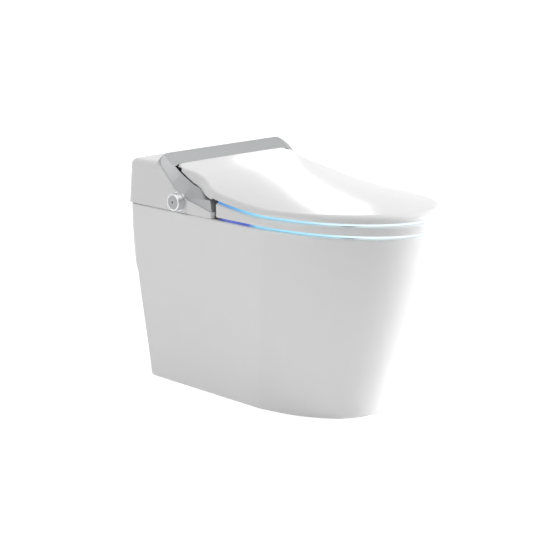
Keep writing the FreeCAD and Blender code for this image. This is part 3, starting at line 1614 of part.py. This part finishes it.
pieces = {
    "ceramic_body": ceramic_body(),
    "rim_deck": rim_deck(),
    "bowl_basin": bowl_basin(),
    "trapway": trapway(),
    "inlet_fitting": inlet_fitting(),
    "lead_gland": lead_gland(),
    "supply_hose": supply_hose(),
    "flush_tank": flush_tank(),
    "flush_pump": flush_pump(),
    "flush_hose": flush_hose(),
    "float_stem": float_stem(),
    "level_float": level_float(),
    "chassis": chassis(),
    "chassis_bolts": chassis_bolts(),
    "chassis_nuts": chassis_nuts(),
    "rear_cover": rear_cover(),
    "cover_screws": cover_screws(),
    "trim_band": trim_band(),
    "side_panel_left": side_panel(),
    "side_panel_right": mirrored(side_panel()),
    "fascia": fascia(),
    "hinge_posts": pair(hinge_post()),
    "lid_dampers": pair(lid_damper()),
    "lid_hinge_pins": pair(lid_hinge_pin()),
    "seat_brackets": pair(seat_bracket()),
    "seat_hinge_pins": pair(seat_hinge_pin()),
    "seat_bushes": pair(seat_bush()),
    "seat_shell": seat_shell(),
    "seat_base": seat_base(),
    "seat_heater": seat_heater(),
    "seat_pads": seat_pads(),
    "seat_light_strip": seat_light_strip(),
    "lid_shell": lid_shell(),
    "lid_liner": lid_liner(),
    "lid_hinge_ears": pair(lid_ear()),
    "lid_pads": lid_pads(),
    "lid_light_strip": lid_light_strip(),
    "knob_bezel": knob_bezel_ring(),
    "knob_ring": knob_ring(),
    "knob_shaft": knob_shaft(),
    "knob_encoder": knob_encoder(),
    "knob_button": knob_button(),
    "button_lens": button_lens(),
    "wand_guide": wand_guide(),
    "front_wand": on_slope(wand_body()),
    "front_wand_tip": on_slope(wand_tip()),
    "front_pinion": on_slope(pinion()),
    "rear_wand": mirrored(on_slope(wand_body())),
    "rear_wand_tip": mirrored(on_slope(wand_tip())),
    "rear_pinion": mirrored(on_slope(pinion())),
    "wand_motors": pair(on_slope(wand_motor())),
    "dryer_housing": dryer_housing(),
    "dryer_motor": dryer_motor(),
    "dryer_fan": dryer_fan(),
    "water_heater": water_heater(),
    "inlet_valve": inlet_valve(),
    "wash_pump": wash_pump(),
    "odour_filter": odour_filter(),
    "power_supply": power_supply(),
    "control_board": control_board(),
}

os.makedirs("parts", exist_ok=True)
for name, shape in pieces.items():
    shape.exportStep("parts/" + name + ".step")
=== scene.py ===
import math

import bmesh
import bpy
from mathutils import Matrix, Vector


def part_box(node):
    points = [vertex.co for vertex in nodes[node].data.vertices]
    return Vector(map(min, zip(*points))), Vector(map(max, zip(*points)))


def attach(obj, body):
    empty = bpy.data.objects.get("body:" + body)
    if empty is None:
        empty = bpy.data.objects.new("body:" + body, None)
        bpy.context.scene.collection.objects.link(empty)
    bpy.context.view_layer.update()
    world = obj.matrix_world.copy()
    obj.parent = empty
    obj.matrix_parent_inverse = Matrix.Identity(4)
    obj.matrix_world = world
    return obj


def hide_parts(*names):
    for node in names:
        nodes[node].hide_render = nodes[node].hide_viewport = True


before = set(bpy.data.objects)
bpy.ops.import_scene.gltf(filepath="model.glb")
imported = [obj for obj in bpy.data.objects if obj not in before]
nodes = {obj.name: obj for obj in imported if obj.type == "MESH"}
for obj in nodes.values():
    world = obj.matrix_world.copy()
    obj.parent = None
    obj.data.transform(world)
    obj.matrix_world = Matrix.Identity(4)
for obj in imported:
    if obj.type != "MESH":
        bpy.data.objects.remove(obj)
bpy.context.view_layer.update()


# Ceramic body: skirt, rim deck and basin, cast in vitreous china, stuck together and fired as one
# piece under a thick white glaze. The glaze lies in slow ripples, and the foot under it is bare.

def linear(hex_colour):
    """Linear RGBA of an sRGB hex colour."""
    channels = [int(hex_colour[i:i + 2], 16) / 255 for i in (1, 3, 5)]
    curved = [c / 12.92 if c < 0.04045 else ((c + 0.055) / 1.055) ** 2.4 for c in channels]
    return (*curved, 1.0)


def add_node(tree, kind, values=None, links=None, **settings):
    """Add one shader node, set its properties and socket values, and link sockets into it."""
    node = tree.nodes.new(kind)
    for key, value in settings.items():
        setattr(node, key, value)
    for socket, value in (values or {}).items():
        node.inputs[socket].default_value = value
    for socket, source in (links or {}).items():
        tree.links.new(source, node.inputs[socket])
    return node


def new_material(name, **values):
    """A material with sockets of its Principled shader set; also gives its tree and shader."""
    material = bpy.data.materials.new(name)
    material.use_nodes = True
    shader = material.node_tree.nodes["Principled BSDF"]
    for socket, value in values.items():
        shader.inputs[socket.replace("_", " ")].default_value = value
    return material, material.node_tree, shader


def textured(name, tones, dull, grain_mm, depth_mm, **values):
    """A material whose colour, gloss and relief wander with a noise of one grain size."""
    material, tree, shader = new_material(name, **values)
    place = add_node(tree, "ShaderNodeTexCoord")
    grain = add_node(tree, "ShaderNodeTexNoise", {"Scale": 1000 / grain_mm, "Detail": 3.0},
                     {"Vector": place.outputs["Object"]})
    tone = add_node(tree, "ShaderNodeMix", {6: linear(tones[0]), 7: linear(tones[1])},
                    {0: grain.outputs[0]}, data_type="RGBA")
    gloss = add_node(tree, "ShaderNodeMapRange", {"To Min": dull[0], "To Max": dull[1]},
                     {"Value": grain.outputs[0]})
    relief = add_node(tree, "ShaderNodeBump", {"Distance": depth_mm / 1000},
                      {"Height": grain.outputs[0]})
    tree.links.new(tone.outputs[2], shader.inputs["Base Color"])
    tree.links.new(gloss.outputs[0], shader.inputs["Roughness"])
    tree.links.new(relief.outputs[0], shader.inputs["Normal"])
    return material


def dress(material, *names):
    """Give CAD nodes a material in place of their plain one."""
    for name in names:
        nodes[name].data.materials.clear()
        nodes[name].data.materials.append(material)


# A clear hard gloss over near white, with reflections that bend slightly as fired glaze does.
glaze = textured("vitreous china glaze", ("#f3f3f3", "#f6f6f6"), dull=(0.07, 0.11), grain_mm=45,
                 depth_mm=0.12, IOR=1.52, Coat_Weight=0.5, Coat_Roughness=0.03)

# The face that stands on the floor is wiped clean of glaze, and shows the clay.
wiped_height = 0.0006
tree = glaze.node_tree
place = add_node(tree, "ShaderNodeTexCoord")
height = add_node(tree, "ShaderNodeSeparateXYZ", links={0: place.outputs["Object"]})
foot = add_node(tree, "ShaderNodeMath", {1: wiped_height}, {0: height.outputs["Z"]},
                operation="LESS_THAN")
shader = tree.nodes["Principled BSDF"]
glazed_tone = shader.inputs["Base Color"].links[0].from_socket
bare = add_node(tree, "ShaderNodeMix", {7: linear("#d8d0c3")},
                {0: foot.outputs[0], 6: glazed_tone}, data_type="RGBA")
tree.links.new(bare.outputs[2], shader.inputs["Base Color"])
dress(glaze, "ceramic_body", "rim_deck", "bowl_basin")


# Trapway and outlet horn: the part of the casting that no one sees, left as bare fired clay inside
# the skirt. A dry, faintly sandy off-white.

bisque = textured("bare fired clay", ("#d3cabc", "#e0d8cb"), dull=(0.75, 0.9), grain_mm=1.2,
                  depth_mm=0.08)
dress(bisque, "trapway")


# Rear fittings: a machined brass water inlet, a black nylon gland for the power lead, and the
# rubber supply hose that climbs inside the skirt to the deck.

# Warm yellow metal with the uneven gloss of a lathe-cut fitting that has been handled.
brass = textured("machined brass", ("#b98f45", "#d0a95c"), dull=(0.2, 0.34), grain_mm=6,
                 depth_mm=0.01, Metallic=1.0)
dress(brass, "inlet_fitting")

# Black with a fine spark-eroded grain, so it takes broad soft highlights.
nylon = textured("black moulded nylon", ("#17181a", "#232427"), dull=(0.4, 0.6), grain_mm=0.7,
                 depth_mm=0.03)
dress(nylon, "lead_gland", "knob_encoder")

# Dusty dark grey with almost no shine.
hose_rubber = textured("EPDM hose rubber", ("#242527", "#333437"), dull=(0.6, 0.8), grain_mm=2.5,
                       depth_mm=0.03)
dress(hose_rubber, "supply_hose", "flush_hose")


# Flush tank with its pump and level float: blow-moulded polypropylene hung in the deck, a black
# pump on its floor, and a float that slides on a white stem.

# Slightly waxy mid grey, uneven as blown plastic is.
polypropylene = textured("blow-moulded polypropylene", ("#63666b", "#74777c"), dull=(0.35, 0.5),
                         grain_mm=12, depth_mm=0.1)
dress(polypropylene, "flush_tank", "inlet_valve", "odour_filter")

# Off-black glass-filled plastic with a coarse dull grain.
filled = textured("glass-filled dark plastic", ("#1a1b1d", "#2b2c2f"), dull=(0.5, 0.7),
                  grain_mm=1.5, depth_mm=0.04)
dress(filled, "flush_pump", "level_float", "dryer_housing", "water_heater", "power_supply")

# White with a fine even grain that scatters highlights, as on unpolished mouldings.
satin = textured("satin white ABS", ("#e4e4e4", "#eeeeee"), dull=(0.36, 0.48), grain_mm=0.6,
                 depth_mm=0.02)
dress(satin, "float_stem")


# Chassis plate with its bolts, nuts and screws: a white moulding bolted to the deck by zinc-plated
# steel, which carries everything in the wash unit.

# Pale metal, finely clouded and a little dull, as zinc plate is.
steel = textured("zinc-plated steel", ("#a9abad", "#c2c4c6"), dull=(0.28, 0.45), grain_mm=1.0,
                 depth_mm=0.01, Metallic=1.0)
dress(satin, "chassis")
dress(steel, "chassis_bolts", "chassis_nuts", "cover_screws")


# Working units on the chassis: fan dryer, heater, valve, pump, filter, supply and a circuit board,
# plain moulded housings with steel motors, hidden under the rear cover.

# Grey acetal, smooth and slightly greasy to the eye, as on gears and fan wheels.
acetal = textured("grey acetal", ("#56585c", "#64676b"), dull=(0.3, 0.42), grain_mm=3,
                  depth_mm=0.01)
dress(acetal, "dryer_fan", "front_pinion", "rear_pinion", "lid_dampers", "seat_bushes")
dress(steel, "dryer_motor", "wash_pump", "wand_motors")

# Green solder mask over paler copper runs, and black chips, known by standing above the mask.
chip_stand = 0.0048
board, tree, shader = new_material("circuit board", Roughness=0.35)
place = add_node(tree, "ShaderNodeTexCoord")
runs = add_node(tree, "ShaderNodeTexBrick",
                {"Color1": linear("#14532f"), "Color2": linear("#17602f"),
                 "Mortar": linear("#3f8d57"), "Scale": 1.0, "Mortar Size": 0.0004,
                 "Brick Width": 0.009, "Row Height": 0.003},
                {"Vector": place.outputs["Object"]})
level = add_node(tree, "ShaderNodeSeparateXYZ", links={0: place.outputs["Object"]})
chips = add_node(tree, "ShaderNodeMath", {1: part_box("control_board")[1].z - chip_stand},
                 {0: level.outputs["Z"]}, operation="GREATER_THAN")
mask = add_node(tree, "ShaderNodeMix", {7: linear("#151617")},
                {0: chips.outputs[0], 6: runs.outputs["Color"]}, data_type="RGBA")
tree.links.new(mask.outputs[2], shader.inputs["Base Color"])
dress(board, "control_board")


# Wash wands: two white tubes on a sloping guide, each driven out over the bowl by a pinion on its
# rack, with a polished spray tip at the end.

# Bright mirror metal, only slightly softened.
chrome = textured("chromed tip", ("#d4d6d8", "#dee0e2"), dull=(0.05, 0.1), grain_mm=5,
                  depth_mm=0.002, Metallic=1.0)
dress(satin, "wand_guide", "front_wand", "rear_wand")
dress(chrome, "front_wand_tip", "rear_wand_tip")


# Hinges and fascia: posts, brackets and ears moulded in satin white, turning on steel pins, and the
# fascia that closes the unit towards the bowl.

dress(satin, "fascia", "hinge_posts", "seat_brackets", "lid_hinge_ears")
dress(steel, "lid_hinge_pins", "seat_hinge_pins", "knob_shaft")


# Rear cover and side panels: polished white mouldings that carry the ceramic's surface up over the
# wash unit, screwed down from inside.

# White as the glaze but a shade softer, with the faint orange peel of polished plastic.
gloss = textured("polished white ABS", ("#f2f2f2", "#f5f5f5"), dull=(0.14, 0.2), grain_mm=9,
                 depth_mm=0.015, IOR=1.5)
dress(gloss, "rear_cover", "side_panel_left", "side_panel_right")


# Silver trim band: crossbar, shoulders and arms in one moulding, painted silver, which frames the
# rear of the lid and clips over the cover's front edge.

# Mid grey paint with a fine mottle that breaks up the light, more satin than metal.
silver = textured("satin silver paint", ("#a2a3a4", "#b0b1b2"), dull=(0.36, 0.48), grain_mm=0.8,
                  depth_mm=0.01, Metallic=0.7, Coat_Weight=0.15, Coat_Roughness=0.25)


def softened(name, node, body, material, radius, sharp_degrees):
    """A copy of a CAD node with its sharp edges rounded, shown in its place."""
    weld, flat_degrees, crease_degrees = 1e-5, 0.5, 12
    form = bmesh.new()
    form.from_mesh(nodes[node].data)
    bmesh.ops.remove_doubles(form, verts=form.verts, dist=weld)
    bmesh.ops.dissolve_limit(form, angle_limit=math.radians(flat_degrees), verts=form.verts,
                             edges=form.edges)
    sharp = [edge for edge in form.edges
             if edge.is_manifold and edge.calc_face_angle() > math.radians(sharp_degrees)]
    bmesh.ops.bevel(form, geom=sharp, offset=radius, offset_type="OFFSET", segments=3, profile=0.5,
                    affect="EDGES", clamp_overlap=True, material=-1)
    mesh = bpy.data.meshes.new(name)
    form.to_mesh(mesh)
    form.free()
    mesh.materials.append(material)
    mesh.shade_smooth()
    mesh.set_sharp_from_angle(angle=math.radians(crease_degrees))
    piece = bpy.data.objects.new(name, mesh)
    bpy.context.collection.objects.link(piece)
    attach(piece, body)
    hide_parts(node)


softened("silver_band", "trim_band", "base", silver, radius=0.0012, sharp_degrees=25)


# Control knob on the user's right: a turned aluminium ring in a polished bezel, with a grey push
# button in its face and a small dark lens at the centre.

# Satin metal with lathe lines round the knob's own axis.
# The wave node runs through 20 radians in each unit of length at a scale of 1.
lathe_pitch = 0.0021
wave_radians = 20
ring_low, ring_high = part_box("knob_ring")
axis = (ring_low + ring_high) / 2
turned, tree, shader = new_material("turned aluminium", Metallic=1.0, Roughness=0.3,
                                    Anisotropic=0.4)
shader.inputs["Base Color"].default_value = linear("#d2d3d5")
place = add_node(tree, "ShaderNodeTexCoord")
centred = add_node(tree, "ShaderNodeMapping", {"Location": (0.0, -axis.y, -axis.z)},
                   {"Vector": place.outputs["Object"]})
lines = add_node(tree, "ShaderNodeTexWave",
                 {"Scale": math.tau / (wave_radians * lathe_pitch), "Distortion": 0.0},
                 {"Vector": centred.outputs[0]}, wave_type="RINGS", rings_direction="X")
cut = add_node(tree, "ShaderNodeBump", {"Strength": 0.4, "Distance": 0.00002},
               {"Height": lines.outputs["Fac"]})
tree.links.new(cut.outputs[0], shader.inputs["Normal"])
dress(turned, "knob_ring")
dress(chrome, "knob_bezel")

# Light grey plastic under a thin clear coat for the button, and glossy near black for its lens.
pearl = textured("pearl grey button", ("#c4c5c6", "#cdcecf"), dull=(0.2, 0.3), grain_mm=2,
                 depth_mm=0.005, Coat_Weight=0.3)
dress(pearl, "knob_button")
lens = textured("dark lens", ("#0d0e10", "#16171a"), dull=(0.05, 0.1), grain_mm=2, depth_mm=0.002,
                IOR=1.49)
dress(lens, "button_lens")


# Heated seat: a polished white shell on a flat base, with a foil heater inside, four black rubber
# feet and a light strip let into its underside.

dress(gloss, "seat_shell", "seat_base")

# Bright, lightly crinkled metal.
foil = textured("heater foil", ("#c3c5c7", "#d6d8da"), dull=(0.25, 0.4), grain_mm=4, depth_mm=0.05,
                Metallic=1.0)
dress(foil, "seat_heater")

# Blue-black rubber, quite matt, with a moulding bloom.
foot_radius, foot_sharp = 0.0015, 40
pad_rubber = textured("black rubber feet", ("#14171c", "#1f232a"), dull=(0.55, 0.75), grain_mm=1.5,
                      depth_mm=0.02)
softened("seat_feet", "seat_pads", "seat", pad_rubber, foot_radius, foot_sharp)


def light_strip(name, stops):
    """A lit frosted strip whose colour changes from the hinge to the front along the stops."""
    material, tree, shader = new_material(name, Roughness=0.9, Specular_IOR_Level=0.1,
                                          Emission_Strength=1.4)
    shader.inputs["Base Color"].default_value = linear("#101418")
    front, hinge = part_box("seat_light_strip")
    place = add_node(tree, "ShaderNodeTexCoord")
    along = add_node(tree, "ShaderNodeSeparateXYZ", links={0: place.outputs["Object"]})
    share = add_node(tree, "ShaderNodeMapRange", {"From Min": hinge.y, "From Max": front.y},
                     {"Value": along.outputs["Y"]})
    ramp = add_node(tree, "ShaderNodeValToRGB", links={"Fac": share.outputs[0]})
    elements = ramp.color_ramp.elements
    elements[0].color = linear(stops[0][1])
    elements[1].color = linear(stops[-1][1])
    for position, colour in stops[1:-1]:
        elements.new(position).color = linear(colour)
    tree.links.new(ramp.outputs["Color"], shader.inputs["Emission Color"])
    return material


# Deep blue at the hinges, clearing through pale cyan to white at the front.
lower_glow = light_strip("blue to white strip", (
    (0.0, "#33385f"), (0.06, "#5a68b4"), (0.22, "#4c5cae"), (0.28, "#84bcd8"),
    (0.5, "#96cbe0"), (0.68, "#a8d3e4"), (0.8, "#d0e2ea"), (1.0, "#dde6ea")))
dress(lower_glow, "seat_light_strip")


# Lid: a domed shell of the same polished plastic with a liner underneath, rubber feet, and its own
# light strip along the edge. Its rear neck turns between the shoulders of the silver band.

dress(gloss, "lid_shell", "lid_liner")
softened("lid_feet", "lid_pads", "lid", pad_rubber, foot_radius, foot_sharp)

# Without the seat's deep blue: mid blue at the hinges, then pale cyan, then white.
upper_glow = light_strip("pale strip", (
    (0.0, "#4f7fba"), (0.12, "#639ccb"), (0.2, "#74b6d8"), (0.3, "#8bc4dd"),
    (0.6, "#a6cfe0"), (0.72, "#c8dde6"), (1.0, "#dde6ea")))
dress(upper_glow, "lid_light_strip")


# Studio: a white paper sweep and four lamps. A broad one overhead and a strong one ahead on the far
# side bring the lid and the front near white, a weak one lifts the near flank, and a small one
# behind puts a highlight on the lid.

def seen_directly(tree):
    """1 for camera, glossy and transmitted rays, 0 for the light that bounces."""
    path = add_node(tree, "ShaderNodeLightPath")
    glossy = add_node(tree, "ShaderNodeMath", operation="MAXIMUM",
                      links={0: path.outputs["Is Camera Ray"], 1: path.outputs["Is Glossy Ray"]})
    both = add_node(tree, "ShaderNodeMath", operation="MAXIMUM",
                    links={0: glossy.outputs[0], 1: path.outputs["Is Transmission Ray"]})
    return both.outputs[0]


# The room is dimmer towards the user's right front, so the body's corner turns darker than its
# flanks.
dim_side = (-0.72, -0.69, 0.0)
room_strength, dim_strength = 0.44, 0.08
world = bpy.data.worlds.new("white studio")
bpy.context.scene.world = world
world.use_nodes = True
tree = world.node_tree
tree.nodes.clear()
towards = add_node(tree, "ShaderNodeTexCoord")
facing = add_node(tree, "ShaderNodeVectorMath", {1: dim_side}, {0: towards.outputs["Generated"]},
                  operation="DOT_PRODUCT")
dimmed = add_node(tree, "ShaderNodeMapRange", {"To Min": room_strength, "To Max": dim_strength},
                  {"Value": facing.outputs["Value"]})
ambient = add_node(tree, "ShaderNodeBackground", {"Color": linear("#ffffff")},
                   {"Strength": dimmed.outputs[0]})
backdrop = add_node(tree, "ShaderNodeBackground", {"Color": linear("#ffffff"), "Strength": 1.0})
sky = add_node(tree, "ShaderNodeMixShader",
               links={0: seen_directly(tree), 1: ambient.outputs[0], 2: backdrop.outputs[0]})
add_node(tree, "ShaderNodeOutputWorld", links={"Surface": sky.outputs[0]})

# White paper that reads as pure white and still holds the object's soft shadow.
paper_glow = 0.72
sweep_size = 12.0
paper, tree, shader = new_material("white paper sweep", Roughness=0.9)
shader.inputs["Base Color"].default_value = linear("#fafafa")
share = add_node(tree, "ShaderNodeMath", {1: paper_glow}, {0: seen_directly(tree)},
                 operation="MULTIPLY")
glow = add_node(tree, "ShaderNodeEmission", {"Color": linear("#ffffff")},
                {"Strength": share.outputs[0]})
lit = add_node(tree, "ShaderNodeAddShader", links={0: shader.outputs[0], 1: glow.outputs[0]})
tree.links.new(lit.outputs[0], tree.nodes["Material Output"].inputs["Surface"])
sheet = bmesh.new()
bmesh.ops.create_grid(sheet, x_segments=1, y_segments=1, size=sweep_size)
floor_mesh = bpy.data.meshes.new("paper sweep")
sheet.to_mesh(floor_mesh)
sheet.free()
floor_mesh.materials.append(paper)
floor = bpy.data.objects.new("paper sweep", floor_mesh)
bpy.context.collection.objects.link(floor)

for name, power, size, spot, aim in (
        ("overhead softbox", 15.5, 2.4, (0.1, -0.3, 2.6), (0.0, -0.1, 0.4)),
        ("side softbox", 14.0, 1.6, (-2.6, 0.9, 1.3), (0.0, 0.0, 0.3)),
        ("front softbox", 80.0, 1.4, (2.3, -2.15, 1.3), (0.0, -0.2, 0.3)),
        ("rear lamp", 1.0, 0.3, (1.68, 1.54, 1.31), (0.0, -0.08, 0.46))):
    lamp = bpy.data.lights.new(name, "AREA")
    lamp.energy = power
    lamp.size = size
    softbox = bpy.data.objects.new(name, lamp)
    softbox.location = spot
    softbox.rotation_euler = (Vector(aim) - Vector(spot)).to_track_quat("-Z", "Y").to_euler()
    bpy.context.collection.objects.link(softbox)


# Camera: a long lens a little over a metre above the floor and 3.4 m away, off the user's right
# front corner.

target = Vector((0.0, -0.06398, 0.20513))
camera_data = bpy.data.cameras.new("camera")
camera_data.sensor_width = 36.0
camera_data.lens = 103.82
camera_data.shift_x = -0.0514
camera_data.shift_y = 0.0399
camera = bpy.data.objects.new("camera", camera_data)
camera.location = (-2.3715, -2.4021, 1.0662)
camera.rotation_euler = (target - camera.location).to_track_quat("-Z", "Y").to_euler()
bpy.context.collection.objects.link(camera)
bpy.context.scene.camera = camera
bpy.context.scene.view_settings.view_transform = "Standard"
